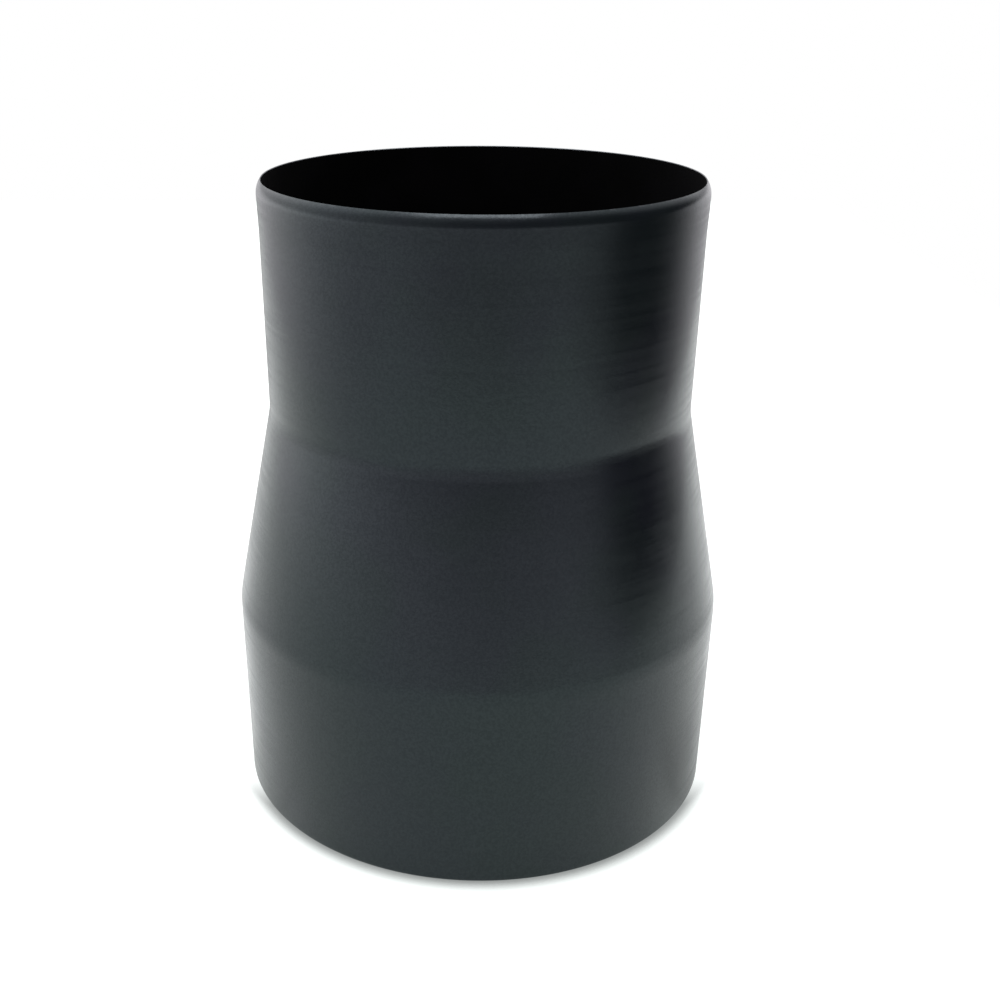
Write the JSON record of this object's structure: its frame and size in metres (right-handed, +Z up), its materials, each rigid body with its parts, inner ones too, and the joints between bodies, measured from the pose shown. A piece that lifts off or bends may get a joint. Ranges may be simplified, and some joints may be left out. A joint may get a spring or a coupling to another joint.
{
  "type": "concentric reducer",
  "caption": "Thin sheet-steel concentric reducer: a wide round spigot, a straight cone and a narrow round spigot with a rolled-in lip, painted satin black.",
  "frame": {"origin": "centre of the wide end's rim, on the plane that the part stands on", "axes": "+Z up the shared axis of the tubes and the cone, from the wide end to the narrow end"},
  "size_m": [0.18, 0.18, 0.223],
  "materials": {
    "shell_paint": "satin",
    "weld_paint": "satin"
  },
  "bodies": {
    "root": {"lower_tube": "shell_paint", "cone": "shell_paint", "upper_tube": "shell_paint", "lower_tube_seam_weld": "weld_paint", "cone_seam_weld": "weld_paint", "upper_tube_seam_weld": "weld_paint", "shoulder_weld": "weld_paint", "neck_weld": "weld_paint"}
  },
  "joints": []
}
